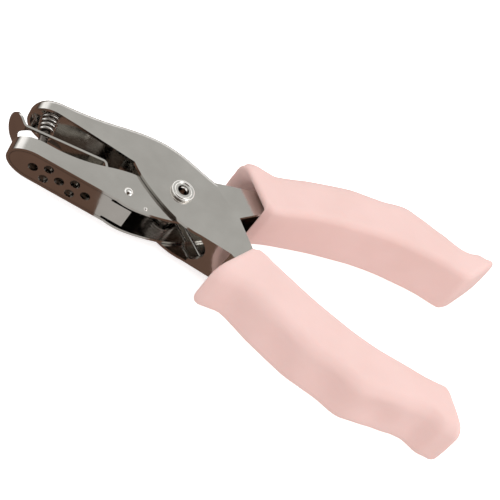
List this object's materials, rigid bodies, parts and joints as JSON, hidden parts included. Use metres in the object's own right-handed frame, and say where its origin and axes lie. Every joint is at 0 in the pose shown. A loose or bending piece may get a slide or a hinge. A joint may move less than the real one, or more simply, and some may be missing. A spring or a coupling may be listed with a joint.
{
  "type": "hand punch plier",
  "caption": "Hand punch plier with plated sheet levers, round punch, stripper spring, vented chip cover and soft contoured grips.",
  "frame": {"origin": "on the pivot axis at mid width, in the middle of the hollow pivot rivet", "axes": "+Z along the pivot axis, the tool lies flat on its side; +X from the jaw tips towards the handle ends; +Y towards the upper (punch) jaw"},
  "size_m": [0.1666, 0.0779, 0.0208],
  "materials": {
    "nickel_plate": "bright nickel plate with fine brushing",
    "nickel_bright": "polished nickel",
    "spring_steel": "drawn wire",
    "punch_steel": "dark hardened steel",
    "soft_grip": "matte soft rubber"
  },
  "bodies": {
    "die_lever": {"inner_lever": "nickel_plate", "pivot_sleeve": "nickel_plate", "return_spring": "spring_steel", "guide_plate": "nickel_plate", "die_plate": "nickel_plate", "guide_rivets": "nickel_bright", "cover_rivet": "nickel_bright", "upper_grip": "soft_grip"},
    "punch_lever": {"outer_lever": "nickel_plate", "pivot_rivet": "nickel_bright", "punch_pin": "punch_steel", "punch_spring": "nickel_bright", "lower_grip": "soft_grip"},
    "cover": {"chip_cover": "nickel_plate"}
  },
  "joints": [
    {"name": "jaw_hinge", "type": "hinge", "parent": "die_lever", "child": "punch_lever", "pos_m": [0, 0, 0], "axis": [0, 0, 1], "range_deg": [0, 7.5], "stiffness_Nm_per_rad": 1.2, "springref_deg": -17.19, "deforming": ["return_spring"]},
    {"name": "cover_hinge", "type": "hinge", "parent": "die_lever", "child": "cover", "pos_m": [-0.0149, -0.0096, 0], "axis": [0, 0, 1], "range_deg": [0, 60]}
  ]
}
